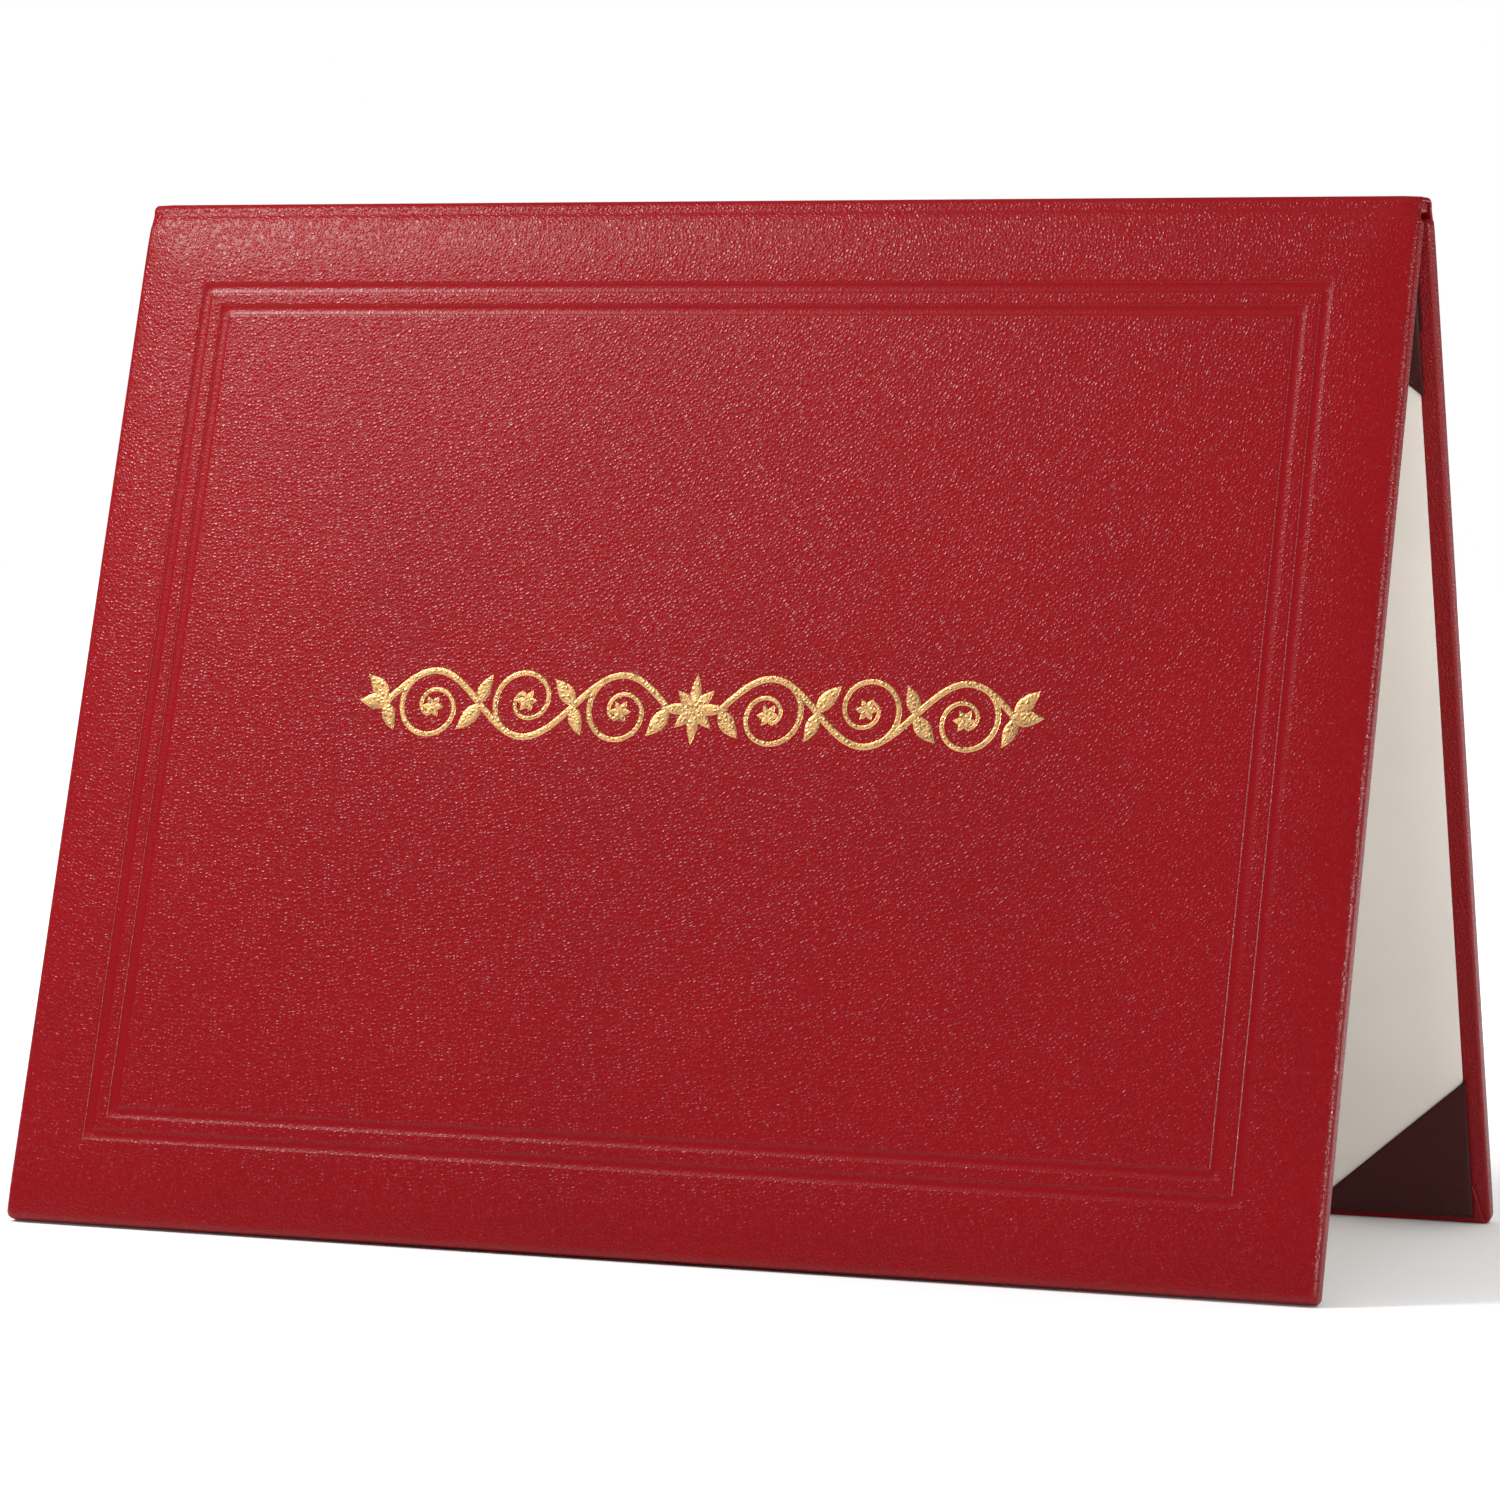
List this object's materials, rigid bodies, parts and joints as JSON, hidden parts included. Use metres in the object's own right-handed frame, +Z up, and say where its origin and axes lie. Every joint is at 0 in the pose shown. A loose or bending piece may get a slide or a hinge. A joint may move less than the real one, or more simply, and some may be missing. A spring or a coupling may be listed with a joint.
{
  "type": "diploma cover",
  "caption": "Padded leatherette certificate cover with a tooled frame, a gilt band and card corner pockets, standing open as a tent.",
  "frame": {"origin": "on the ground, under the middle of the spine and midway between the covers' feet", "axes": "+X along the spine, to the right as the front cover is read; +Y from the front cover to the back cover; +Z up"},
  "size_m": [0.2922, 0.1428, 0.2209],
  "materials": {
    "leatherette": "satin pebble grain",
    "lining_cloth": "satin",
    "pocket_cloth": "satin",
    "greyboard": "matt",
    "foam": "matt",
    "cream_paper": "matt",
    "gilt_foil": "stamped foil"
  },
  "bodies": {
    "back_cover": {"back_skin": "leatherette", "back_foam": "foam", "back_board": "greyboard", "back_hinge_lining": "lining_cloth", "back_card": "cream_paper", "pocket_top_left": "pocket_cloth", "pocket_top_right": "pocket_cloth", "pocket_bottom_left": "pocket_cloth", "pocket_bottom_right": "pocket_cloth"},
    "spine": {"spine_skin": "leatherette", "spine_lining": "lining_cloth"},
    "front_cover": {"front_skin": "leatherette", "front_foam": "foam", "front_board": "greyboard", "front_hinge_lining": "lining_cloth", "front_liner": "cream_paper", "gilt_ornament": "gilt_foil"}
  },
  "joints": [
    {"name": "back_hinge", "type": "hinge", "parent": "back_cover", "child": "spine", "pos_m": [0, 0.005, 0.21843], "axis": [1, 0, 0], "range_deg": [-73.25, 16.75]},
    {"name": "front_hinge", "type": "hinge", "parent": "spine", "child": "front_cover", "pos_m": [0, -0.005, 0.21843], "axis": [1, 0, 0], "range_deg": [-73.25, 16.75]}
  ],
  "couplings": [
    {"joint": "back_hinge", "follows": "front_hinge", "ratio": 1}
  ]
}
